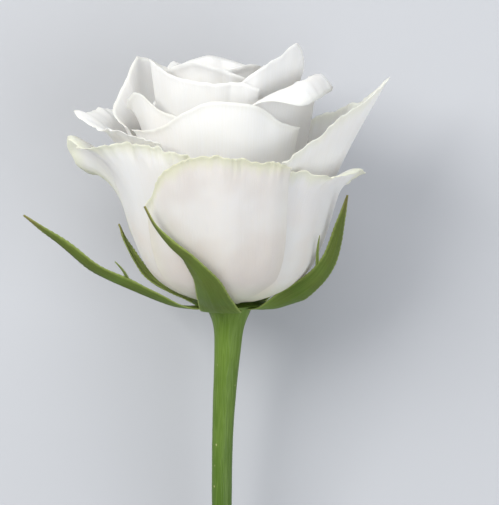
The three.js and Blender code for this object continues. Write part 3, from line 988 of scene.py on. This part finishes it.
@dataclass(frozen=True)
class Sepal:
    """One sepal, from its foot under the disc to its tip.

    Attributes:
        name: The sepal's node.
        width: Its greatest width.
        twist: How far its tip is turned about its own line.
        line: Its middle line as azimuth, radius and height around the bloom.
        teeth: How far the fine teeth of its margins stand out.
        lobes: The leaflets on its margins.
        early: Where along the sepal the twist is complete.
    """

    name: str
    width: float
    twist: float
    line: Sequence[tuple[float, float, float]]
    teeth: float = 0.22
    lobes: tuple[Lobe, ...] = ()
    early: float = 1.0
    columns: int = 25
    rows: int = 260

    def middle_line(self) -> np.ndarray:
        """Points evenly spaced along the middle line."""
        knots = np.array(
            [
                (r * math.cos(math.radians(a)), r * math.sin(math.radians(a)), z)
                for a, r, z in self.line
            ]
        )
        places = np.linspace(-1, 1, 40 * len(knots))
        dense = np.stack([smooth_through(knots[:, axis], places) for axis in range(3)], 1)
        run = np.concatenate([[0], np.cumsum(np.linalg.norm(np.diff(dense, axis=0), axis=1))])
        even = np.linspace(0, run[-1], self.rows)
        return np.stack([np.interp(even, run, dense[:, axis]) for axis in range(3)], 1)

    def build(self, place: RestingPlace, material: bpy.types.Material) -> bpy.types.Object:
        """Makes the sepal's object.

        Args:
            place: Where the bloom's frame lies.
            material: The sepal's finish.

        Returns:
            The sepal, riding on the root and standing for its node.
        """
        centre = self.middle_line()
        along = np.gradient(centre, axis=0)
        along /= np.linalg.norm(along, axis=1, keepdims=True)
        t = np.linspace(0, 1, self.rows)
        out = centre.copy()
        out[:, 2] = 0
        out /= np.linalg.norm(out, axis=1, keepdims=True)
        out[:, 2] = -1
        out -= along * np.sum(out * along, axis=1, keepdims=True)
        out /= np.linalg.norm(out, axis=1, keepdims=True)
        angle = np.radians(self.twist) * np.minimum(t / self.early, 1)
        out = out * np.cos(angle)[:, None] + np.cross(along, out) * np.sin(angle)[:, None]
        side = np.cross(out, along)
        share = mix(0.8, 1, ease(t, 0, 0.12)) * np.maximum(1 - t**1.15, 0) ** 0.9 + 0.05
        reach = self.width * share / 2
        tooth = self.teeth * np.abs(((t * 34) % 1) - 0.15) * ease(t, 0.12, 0.3) * (1 - ease(t, 0.8, 1))
        s = np.linspace(-1, 1, self.columns)
        across = s[None, :] * (reach[:, None] + tooth[:, None] * np.abs(s[None, :]) ** 6)
        camber = 0.16 * ease(t, 0.05, 0.3) * 2 * reach
        hollow = camber[:, None] * s[None, :] ** 2 - 0.12 * np.exp(-((s[None, :] / 0.1) ** 2))
        wave = 0.25 * np.sin(t * 19)[:, None] * np.abs(s[None, :]) ** 3
        middle = (
            centre[:, None, :]
            + side[:, None, :] * across[..., None]
            - out[:, None, :] * (hollow + wave * ease(t, 0.2, 0.4)[:, None])[..., None]
        )
        thickness = (SEPAL_THICKNESS * mix(1, 0.7, t))[:, None] * mix(0.35, 1, 1 - np.abs(s[None, :]) ** 4)
        blades = [self.blade(middle, thickness, t, s, (1 - np.abs(s))[None, :] * reach[:, None])]
        for lobe in self.lobes:
            row = round(lobe.at * (self.rows - 1))
            margin = middle[row, 0 if lobe.side < 0 else -1]
            blades.append(self.lobe_blade(lobe, margin, along[row], side[row], out[row]))
        points = np.concatenate([blade[0] for blade in blades])
        starts = np.cumsum([0] + [len(blade[0]) for blade in blades[:-1]])
        quads = np.concatenate([blade[1] + start for blade, start in zip(blades, starts)])
        layers = {name: np.concatenate([blade[2][name] for blade in blades]) for name in blades[0][2]}
        made = object_from_quads(self.name + "_leaf", place.place(points), quads, layers)
        made.data.materials.append(material)
        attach(made, ROOT)
        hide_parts(self.name)
        log.info("%s: %.0f mm wide with %d lobes", self.name, self.width, len(self.lobes))
        return made

    @staticmethod
    def blade(
        middle: np.ndarray, thickness: np.ndarray, t: np.ndarray, s: np.ndarray, to_edge: np.ndarray
    ) -> tuple[np.ndarray, np.ndarray, dict[str, np.ndarray]]:
        """A closed shell around a grid of points.

        Args:
            middle: The grid, with a row for each t and a column for each s.
            thickness: The shell's thickness over the grid.
            t: Places along.
            s: Places across.
            to_edge: Distance from the margin over the grid.

        Returns:
            Points, faces and number layers.
        """
        offset = grid_normals(middle) * np.broadcast_to(thickness, middle.shape[:2])[..., None] / 2
        points = np.concatenate([(middle + offset).reshape(-1, 3), (middle - offset).reshape(-1, 3)])
        tt, ss = np.meshgrid(t, s, indexing="ij")
        layers = {
            "across": np.tile(ss.ravel(), 2),
            "along": np.tile(tt.ravel(), 2),
            "to_edge": np.tile(np.broadcast_to(to_edge, tt.shape).ravel(), 2),
            "inner": np.repeat([1.0, 0.0], tt.size),
        }
        return points, shell_quads(*tt.shape), layers

    def lobe_blade(
        self, lobe: Lobe, margin: np.ndarray, along: np.ndarray, side: np.ndarray, out: np.ndarray
    ) -> tuple[np.ndarray, np.ndarray, dict[str, np.ndarray]]:
        """One leaflet, which leaves the margin and bends back towards the sepal's own line.

        Args:
            lobe: Its form.
            margin: The point of the margin that it starts from.
            along: Direction of the sepal's own line there.
            side: Direction across the sepal there.
            out: Direction out of the sepal's outer face there.

        Returns:
            Points, faces and number layers.
        """
        t, s = np.linspace(0, 1, 40), np.linspace(-1, 1, 7)
        turn = np.radians(lobe.spread) * (1 - 0.4 * t)
        heading = along * np.cos(turn)[:, None] + lobe.side * side * np.sin(turn)[:, None]
        line = margin - heading[0] * 0.6 + np.cumsum(heading, axis=0) * lobe.length / len(t)
        across = np.cross(out, heading)
        across /= np.linalg.norm(across, axis=1, keepdims=True)
        reach = lobe.width / 2 * np.maximum(1 - t, 0.03) ** 0.7
        middle = line[:, None, :] + across[:, None, :] * (s[None, :] * reach[:, None])[..., None]
        place = mix(lobe.at, 1, 0.5 * t)
        to_edge = (1 - np.abs(s))[None, :] * reach[:, None]
        return self.blade(middle, np.full(to_edge.shape, LOBE_THICKNESS), place, s, to_edge)


SEPALS = (
    Sepal("sepal_front", 10.5, -20, (
        (264, 6.5, -0.9), (264, 10, -0.8), (263, 14.5, 0.6), (262, 19.8, 3.6), (259.5, 24.6, 8.8),
        (253, 27.4, 14), (245, 29, 17.8), (238, 30.2, 22.5), (234, 31.4, 27.2),
    )),
    Sepal("sepal_right", 8, -44, (
        (342, 6.5, -0.9), (342, 10, -0.8), (342, 14, 0.6), (342, 18.8, 3), (342, 23.3, 6.6),
        (342, 26.6, 11.4), (342, 28.6, 16.4), (341, 30, 22), (340, 31.8, 28.5),
    ), lobes=(Lobe(0.55, 1, 8.5, 34, 0.9),), early=0.3),
    Sepal("sepal_back_right", 8, 0, (
        (54, 6.5, -0.9), (54, 10, -0.8), (54, 15, 0.8), (54, 21, 4), (53, 25.6, 9), (52, 28, 15),
        (50, 29.4, 21.5),
    ), lobes=(Lobe(0.45, 1, 6, 30, 1.2),)),
    Sepal("sepal_back_left", 6.5, 0, (
        (126, 6.5, -0.9), (131, 10, -0.8), (140, 15, 0.4), (150, 22, 3.2), (151, 27.5, 8),
        (150, 31, 12.5), (149, 34, 17.5),
    ), teeth=0.5),
    Sepal("sepal_left", 7.5, 55, (
        (198, 6.5, -0.9), (198, 10, -0.8), (198, 15, 0.3), (198, 23.1, 3.8), (198, 33.5, 9.3),
        (198, 44, 17.9), (198, 51.5, 23.7),
    ), lobes=(Lobe(0.42, -1, 9.5, 60, 0.9),)),
)


# ---- Geometry node trees ------------------------------------------------------------------------


class Recipe:
    """A geometry node tree with named inputs, run once to make a plain mesh."""

    def __init__(self, name: str, inputs: dict[str, object]) -> None:
        """Starts the tree.

        Args:
            name: The tree's name.
            inputs: Values by input name: numbers, and the material.
        """
        self.tree = bpy.data.node_groups.new(name, "GeometryNodeTree")
        self.values = inputs
        self.sockets = {}
        for label, value in inputs.items():
            kind = "NodeSocketMaterial" if isinstance(value, bpy.types.Material) else "NodeSocketFloat"
            kind = "NodeSocketInt" if isinstance(value, int) else kind
            self.sockets[label] = self.tree.interface.new_socket(label, in_out="INPUT", socket_type=kind)
        self.tree.interface.new_socket("Geometry", in_out="OUTPUT", socket_type="NodeSocketGeometry")
        self.entry = self.tree.nodes.new("NodeGroupInput")

    def given(self, label: str) -> Wire:
        """One of the tree's inputs."""
        return Wire(self.tree, self.entry.outputs[label])

    def node(
        self, kind: str, settings: dict[str, object] | None = None, **values: object
    ) -> bpy.types.Node:
        """A node with its settings and inputs.

        Args:
            kind: The node's type.
            settings: Properties of the node itself.
            values: Values or links for its inputs, by name with _ for spaces.

        Returns:
            The node.
        """
        made = self.tree.nodes.new(kind)
        for name, value in (settings or {}).items():
            setattr(made, name, value)
        for name, value in values.items():
            label = name.replace("_", " ")
            plug(self.tree, next(i for i in made.inputs if i.name == label and i.enabled), value)
        return made

    def store(self, geometry: bpy.types.NodeSocket, name: str, value: object) -> bpy.types.NodeSocket:
        """Writes a number layer on the points of a geometry."""
        made = self.node("GeometryNodeStoreNamedAttribute", {"data_type": "FLOAT", "domain": "POINT"})
        plug(self.tree, made.inputs["Geometry"], geometry)
        plug(self.tree, made.inputs["Name"], name)
        plug(self.tree, next(i for i in made.inputs if i.name == "Value" and i.enabled), value)
        return made.outputs[0]

    def finish(self, geometry: bpy.types.NodeSocket) -> None:
        """Ends the tree with real geometry that wears the given material."""
        real = self.node("GeometryNodeRealizeInstances", Geometry=geometry)
        dressed = self.node(
            "GeometryNodeSetMaterial", Geometry=real.outputs[0], Material=self.given("Material")
        )
        leave = self.tree.nodes.new("NodeGroupOutput")
        self.tree.links.new(dressed.outputs[0], leave.inputs[0])

    def make(self, name: str, changed: dict[str, object] | None = None) -> bpy.types.Object:
        """Evaluates the tree once and keeps the result as a plain mesh.

        Args:
            name: The object's name.
            changed: Input values that differ from the first ones.

        Returns:
            The object, linked to the scene.
        """
        carrier = bpy.data.objects.new(name + "_carrier", bpy.data.meshes.new(name + "_carrier"))
        bpy.context.scene.collection.objects.link(carrier)
        modifier = carrier.modifiers.new(self.tree.name, "NODES")
        modifier.node_group = self.tree
        for label, value in (self.values | (changed or {})).items():
            modifier[self.sockets[label].identifier] = value
        bpy.context.view_layer.update()
        evaluated = carrier.evaluated_get(bpy.context.evaluated_depsgraph_get())
        mesh = bpy.data.meshes.new_from_object(evaluated)
        bpy.data.objects.remove(carrier)
        mesh.name = name
        mesh.polygons.foreach_set("use_smooth", np.ones(len(mesh.polygons), bool))
        made = bpy.data.objects.new(name, mesh)
        bpy.context.scene.collection.objects.link(made)
        return made


def lay_down(made: bpy.types.Object, place: RestingPlace) -> None:
    """Moves a mesh from the bloom's frame in millimetres to its place on the table."""
    points = np.empty(len(made.data.vertices) * 3, np.float32)
    made.data.vertices.foreach_get("co", points)
    points = place.place(points.reshape(-1, 3))
    made.data.vertices.foreach_set("co", points.astype(np.float32).ravel())
    made.data.update()


@dataclass(frozen=True)
class Heart:
    """The petals of the tight heart, all made by one node tree.

    Each next petal stands a golden angle further round, is wider in angle and a little lower.
    """

    first: int
    first_azimuth: float
    columns: int = 110
    rows: int = 52
    material: bpy.types.Material | None = None

    def values(self, index: int) -> dict[str, float]:
        """The tree's inputs for one petal."""
        inward = (index - self.first) / (PETALS - 1 - self.first)
        layer = layer_of(index)
        return {
            "Azimuth": self.first_azimuth + GOLDEN_ANGLE * (index - self.first),
            "Half angle": mix(72, 118, inward),
            "Layer": layer,
            "Foot": PETAL_FOOT + foot_rise(layer),
            "Rise": foot_rise(layer),
            "Top": mix(61.5, 57.5, inward) + 0.8 * math.sin(2.1 * index),
            "Drop": mix(9, 5, inward),
            "Flare": mix(6, 3, inward),
            "Lean": mix(34, 12, inward),
            "Seed": index * 1.37,
        }

    def cup(self, recipe: Recipe, z: Wire) -> Wire:
        """The cup's radius at a height, as cup_radius gives it."""
        above = z - recipe.given("Rise")
        opened = (1.0 - (above / -CUP_CURVE).through("EXPONENT")) * CUP_OPENING
        outer = opened + above * CUP_SLOPE + CUP_FLOOR
        fading = ((above - CORE_NARROWS_AT) / CORE_NARROWS_OVER).through("EXPONENT") + 1.0
        inner = as_wire(recipe.tree, CORE_BELLY) / fading + CORE_RADIUS
        return inner.toward(outer, recipe.given("Layer"))

    def tree(self) -> Recipe:
        """The node tree, from a flat grid to a closed petal."""
        recipe = Recipe("heart petal by rule", self.values(self.first) | {"Material": self.material})
        tree, given = recipe.tree, recipe.given
        grid = recipe.node(
            "GeometryNodeMeshGrid", Size_X=2.0, Size_Y=1.0, Vertices_X=self.columns, Vertices_Y=self.rows
        )
        flat = tree.nodes.new("ShaderNodeSeparateXYZ")
        tree.links.new(tree.nodes.new("GeometryNodeInputPosition").outputs[0], flat.inputs[0])
        u, v = Wire(tree, flat.outputs[0]), Wire(tree, flat.outputs[1]) + 0.5
        spaced = u.toward((u * (math.pi / 2)).through("SINE"), 0.6)
        marked = recipe.store(grid.outputs["Mesh"], "across", spaced)
        marked = recipe.store(marked, "along", v.through("MAXIMUM", 0.0) ** 0.9)
        s, t = self.read(recipe, "across"), self.read(recipe, "along")
        size = s.through("ABSOLUTE")
        seed = given("Seed")
        turn = s * (5.0 * math.pi)
        broad = (turn + seed * 1.7 + (turn * 0.43 + seed).through("SINE")).through("SINE")
        fine = (turn * 2.17 + seed * 4.3).through("SINE")
        wave = broad * 0.3 + fine * 0.2
        even_rim = given("Top") - given("Drop") * size ** 1.3
        rim = even_rim + wave * 0.5
        leaves = even_rim.through("MINIMUM", (even_rim - given("Flare")).through("MAXIMUM", 50.0))
        climb = given("Foot").toward(rim, t ** 1.3)
        start = climb.through("MINIMUM", leaves)
        slope = (self.cup(recipe, start + 0.5) - self.cup(recipe, start - 0.5)).through("ARCTANGENT")
        lean = given("Lean").toward(22.0, size.eased(0.0, 0.6)) * (math.pi / 180)
        lean = lean.through("MAXIMUM", slope)
        over = (climb - leaves).through("MAXIMUM", 0.0)
        done = (over / (even_rim - leaves).through("MAXIMUM", 1.0)).through("MINIMUM", 1.1)
        angle = slope + (lean - slope) * (done ** 1.4) / 2.4 + done.eased(0.6, 1.0) * 0.16
        radius = self.cup(recipe, start) + over * angle.through("SINE")
        height = start + over * angle.through("COSINE")
        spread = as_wire(tree, FOOT_SHARE).toward(1.0, climb.eased(0.0, WIDEST_AT))
        around = (given("Azimuth") + s * given("Half angle") * spread) * (math.pi / 180)
        to_side = (1.0 - size) * given("Half angle") * spread * radius * (math.pi / 180)
        to_edge = (rim - climb).through("MINIMUM", to_side)
        for name, value in (("height", height), ("to_edge", to_edge), ("tint", 0.2), ("seed", seed)):
            marked = recipe.store(marked, name, value)
        at = vector(tree, radius * around.through("COSINE"), radius * around.through("SINE"), height)
        bent = recipe.node("GeometryNodeSetPosition", Geometry=marked, Position=at)
        kept = self.read(recipe, "to_edge")
        near = (1.0 - kept.eased(0.0, 7.0)) * wave * 0.5
        rippled = recipe.node(
            "GeometryNodeSetPosition", Geometry=bent.outputs[0], Offset=self.along_normal(recipe, near)
        )
        half = kept.eased(0.0, 5.0) * (PETAL_THICKNESS - EDGE_THICKNESS) / 2.0 + EDGE_THICKNESS / 2.0
        sides = [
            recipe.node(
                "GeometryNodeSetPosition",
                Geometry=rippled.outputs[0],
                Offset=self.along_normal(recipe, half * share),
            )
            for share in (-1.0, 1.0)
        ]
        raised = recipe.node(
            "GeometryNodeExtrudeMesh",
            {"mode": "FACES"},
            Mesh=sides[0].outputs[0],
            Offset=self.along_normal(recipe, 1.0),
            Offset_Scale=half * 2.0,
            Individual=False,
        )
        turned = recipe.node("GeometryNodeFlipFaces", Mesh=sides[0].outputs[0])
        both = recipe.node("GeometryNodeJoinGeometry")
        for part in (raised.outputs["Mesh"], turned.outputs[0]):
            tree.links.new(part, both.inputs[0])
        closed = recipe.node("GeometryNodeMergeByDistance", Geometry=both.outputs[0], Distance=0.0005)
        recipe.finish(closed.outputs[0])
        return recipe

    @staticmethod
    def read(recipe: Recipe, name: str) -> Wire:
        """A number layer stored earlier in the tree."""
        node = recipe.node("GeometryNodeInputNamedAttribute", {"data_type": "FLOAT"}, Name=name)
        return Wire(recipe.tree, next(o for o in node.outputs if o.name == "Attribute" and o.enabled))

    @staticmethod
    def along_normal(recipe: Recipe, length: Wire | float) -> bpy.types.NodeSocket:
        """The surface's normal, scaled to a length."""
        scaled = recipe.tree.nodes.new("ShaderNodeVectorMath")
        scaled.operation = "SCALE"
        normal = recipe.tree.nodes.new("GeometryNodeInputNormal")
        recipe.tree.links.new(normal.outputs[0], scaled.inputs[0])
        plug(recipe.tree, scaled.inputs["Scale"], length)
        return scaled.outputs[0]

    def build(self, place: RestingPlace) -> None:
        """Makes every petal of the heart, each riding on the root and standing for its node."""
        recipe = self.tree()
        for index in range(self.first, PETALS):
            name = f"petal_{index + 1:02d}"
            made = recipe.make(name + "_tissue", self.values(index))
            lay_down(made, place)
            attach(made, ROOT)
            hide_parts(name)
            log.info("%s: heart petal, %d faces", name, len(made.data.polygons))


@dataclass(frozen=True)
class Stem:
    """The stem with the hip it widens into and the floral disc on top, made by a node tree."""

    length: float = STEM_LENGTH
    radius: float = STEM_RADIUS
    rings: int = 420
    sides: int = 56

    def build(self, place: RestingPlace, material: bpy.types.Material) -> bpy.types.Object:
        """Makes the stem's object.

        Args:
            place: Where the bloom's frame lies.
            material: The stem's finish.

        Returns:
            The stem, riding on the root and standing for its node.
        """
        recipe = Recipe(
            "stem along its line",
            {
                "Length": self.length,
                "Radius": self.radius,
                "Rings": self.rings,
                "Sides": self.sides,
                "Bend": STEM_BEND,
                "Cut slant": STEM_CUT_SLANT,
                "Material": material,
            },
        )
        tree = recipe.tree
        length = recipe.given("Length")
        index = Wire(tree, tree.nodes.new("GeometryNodeInputIndex").outputs[0])
        share = index / (recipe.given("Rings") - 1.0)
        depth = length * (1.0 - share)
        below = -depth
        straight = (-((depth / STEM_BEND_REACH) ** 2.0)).through("EXPONENT")
        bend = HIP_OFFSET - recipe.given("Bend") * (1.0 - straight)
        top = DISC_TOP * share ** LAST_RING_ONLY
        swell = depth.eased(STEM_SWELLS_FROM, length) * STEM_END_SWELL
        neck = (below / NECK_REACH).through("EXPONENT") * NECK_SWELL
        hip = (-((depth / HIP_REACH) ** 2.0)).through("EXPONENT") * HIP_FLARE
        lumps = (noise(tree, vector(tree, below * 0.05, 0.0, 0.0), 1.0, 3.0) - 0.5) * 0.25
        width = recipe.given("Radius") + swell + neck + hip + lumps
        tube = self.tube(recipe, recipe.given("Rings"), vector(tree, bend, 0.0, below + top), width)
        position = tree.nodes.new("GeometryNodeInputPosition")
        parts = tree.nodes.new("ShaderNodeSeparateXYZ")
        tree.links.new(position.outputs[0], parts.inputs[0])
        x, y, z = (Wire(tree, parts.outputs[k]) for k in range(3))
        angle = y.through("ARCTAN2", x - (HIP_OFFSET - STEM_BEND)) / math.pi
        near_end = (-z).eased(length - STEM_CUT_REACH, length)
        slant = near_end * recipe.given("Cut slant") * y / (STEM_RADIUS + STEM_END_SWELL)
        slanted = recipe.node(
            "GeometryNodeSetPosition", Geometry=tube, Offset=vector(tree, 0.0, 0.0, slant)
        )
        joined = recipe.node("GeometryNodeJoinGeometry")
        for part in (slanted.outputs[0], self.disc(recipe)):
            tree.links.new(part, joined.inputs[0])
        stored = recipe.store(joined.outputs[0], "across", angle)
        stored = recipe.store(stored, "along", (-z) / length)
        recipe.finish(stored)
        made = recipe.make("stem_tissue")
        lay_down(made, place)
        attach(made, ROOT)
        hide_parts("stem")
        log.info("stem: %d faces", len(made.data.polygons))
        return made

    def disc(self, recipe: Recipe) -> bpy.types.NodeSocket:
        """The low domed disc on the hip, which the petals grow from."""
        tree = recipe.tree
        share = Wire(tree, tree.nodes.new("GeometryNodeInputIndex").outputs[0]) / (DISC_RINGS - 1.0)
        height = (share ** 1.5) * (DISC_TOP + DISC_DOME - DISC_UNDERSIDE) + DISC_UNDERSIDE
        width = (1.0 - (share - 0.12).through("MAXIMUM", 0.0) * 0.66) * DISC_RADIUS
        return self.tube(recipe, DISC_RINGS, vector(tree, HIP_OFFSET, 0.0, height), width)

    @staticmethod
    def tube(
        recipe: Recipe, count: Wire | int, place: bpy.types.NodeSocket, width: Wire
    ) -> bpy.types.NodeSocket:
        """A closed round tube.

        Args:
            recipe: The tree to build it in.
            count: Number of rings.
            place: Where the middle of each ring lies.
            width: The radius of each ring.

        Returns:
            The tube's geometry.
        """
        line = recipe.node("GeometryNodeMeshLine", {"mode": "OFFSET"}, Count=count)
        curve = recipe.node("GeometryNodeMeshToCurve", Mesh=line.outputs[0])
        spine = recipe.node("GeometryNodeSetPosition", Geometry=curve.outputs[0], Position=place)
        sized = recipe.node("GeometryNodeSetCurveRadius", Curve=spine.outputs[0], Radius=width)
        ring = recipe.node("GeometryNodeCurvePrimitiveCircle", Resolution=recipe.given("Sides"), Radius=1.0)
        swept = recipe.node(
            "GeometryNodeCurveToMesh", Curve=sized.outputs[0], Profile_Curve=ring.outputs[0], Fill_Caps=True
        )
        if "Scale" in swept.inputs:
            radius = recipe.node("GeometryNodeInputRadius")
            plug(recipe.tree, swept.inputs["Scale"], radius.outputs[0])
        return swept.outputs[0]


# ---- The whole rose -----------------------------------------------------------------------------


@dataclass
class Rose:
    """The rose with all its pieces."""

    place: RestingPlace
    effects: Effects = field(default_factory=Effects)

    def petal_finishes(self) -> dict[PetalKind, bpy.types.Material]:
        """The three petal materials, from the weathered outer petals to the clean heart."""
        outer = PetalFinish(
            "outer_petal", edge_share=0.75, edge_width=4.5, fleck_share=0.35, blush_share=0.55
        )
        shoulder = PetalFinish("shoulder_petal", edge_share=0.3, edge_width=2.5, blush_share=0.3)
        heart = PetalFinish("heart_petal", edge_share=0.12, edge_width=1.5, blush_share=0.12)
        return {
            OUTER: outer.build(self.effects),
            SHOULDER: shoulder.build(self.effects),
            HEART: heart.build(self.effects),
        }

    def build(self) -> None:
        """Makes every piece."""
        finishes = self.petal_finishes()
        for index, (kind, shape) in enumerate(SHOWN_PETALS):
            columns, rows = (200, 70) if kind is OUTER else (150, 60)
            Petal(index, shape, kind, columns, rows).build(self.place, finishes)
        last = SHOWN_PETALS[-1][1].azimuth
        Heart(len(SHOWN_PETALS), last + GOLDEN_ANGLE, material=finishes[HEART]).build(self.place)
        green = SepalFinish().build(self.effects)
        for sepal in SEPALS:
            sepal.build(self.place, green)
        Stem().build(self.place, StemFinish().build(self.effects))
        self.dress_heart()

    def dress_heart(self) -> None:
        """Gives the hidden stamens and styles their finishes."""
        finishes = {
            "stamens": PollenFinish("stamen", (0.69, 0.44, 0.1), (0.5, 0.28, 0.06)),
            "styles": PollenFinish("style", (0.58, 0.6, 0.27), (0.42, 0.46, 0.18)),
        }
        for node, finish in finishes.items():
            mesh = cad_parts[node].data
            mesh.materials.clear()
            mesh.materials.append(finish.build(self.effects))


@dataclass(frozen=True)
class Studio:
    """A pale floor, soft lights and the camera above."""

    place: RestingPlace
    distance: float = 0.6
    view_height: float = 0.12625
    aim: tuple[float, float, float] = (5.4, 0.0, 12.7)

    def build(self) -> None:
        """Makes the floor, the lights and the camera."""
        bpy.ops.mesh.primitive_plane_add(size=6)
        floor = bpy.context.object
        floor.name = "floor"
        material = bpy.data.materials.new("floor")
        material.use_nodes = True
        shader = material.node_tree.nodes["Principled BSDF"]
        shader.inputs["Base Color"].default_value = (0.42, 0.43, 0.45, 1)
        shader.inputs["Roughness"].default_value = 0.8
        floor.data.materials.append(material)
        world = bpy.data.worlds.new("soft light")
        bpy.context.scene.world = world
        world.use_nodes = True
        world.node_tree.nodes["Background"].inputs["Color"].default_value = (0.93, 0.96, 1, 1)
        world.node_tree.nodes["Background"].inputs["Strength"].default_value = 0.58
        centre = Vector(self.place.place(np.array([0.0, 0.0, 25.0])))
        self.light("key", centre, Vector((-0.6, 0.4, 0.75)), 0.6, 10.5, (1, 0.985, 0.96))
        self.light("fill", centre, Vector((0.6, -0.3, 0.7)), 0.7, 4.5, (0.93, 0.95, 1))
        self.light("top", centre, Vector((0.1, 0.9, 0.45)), 0.5, 3.5, (1, 1, 1))
        camera = bpy.data.objects.new("camera", bpy.data.cameras.new("camera"))
        bpy.context.scene.collection.objects.link(camera)
        aim = self.place.place(np.array(self.aim))
        camera.location = Vector(aim) + Vector((0, 0, self.distance))
        camera.data.lens = 36 * self.distance / self.view_height
        camera.data.sensor_width = 36
        camera.data.clip_end = 20
        bpy.context.scene.camera = camera
        bpy.context.scene.view_settings.view_transform = "Standard"

    def light(
        self, name: str, centre: Vector, offset: Vector, size: float, power: float, color: Color
    ) -> None:
        """Hangs one square lamp that faces the bloom.

        Args:
            name: The lamp's name.
            centre: What it faces.
            offset: Where it hangs from there.
            size: Length of its sides.
            power: Its watts.
            color: Its colour.
        """
        data = bpy.data.lights.new(name, "AREA")
        data.size, data.energy, data.color = size, power, color
        lamp = bpy.data.objects.new(name, data)
        bpy.context.scene.collection.objects.link(lamp)
        lamp.location = centre + offset
        lamp.rotation_mode = "QUATERNION"
        lamp.rotation_quaternion = offset.to_track_quat("Z", "Y")


def main() -> None:
    """Builds the rose and its studio."""
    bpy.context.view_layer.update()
    place = RestingPlace.from_frame()
    Rose(place).build()
    Studio(place).build()
    bpy.context.view_layer.update()


if __name__ == "__main__":
    main()
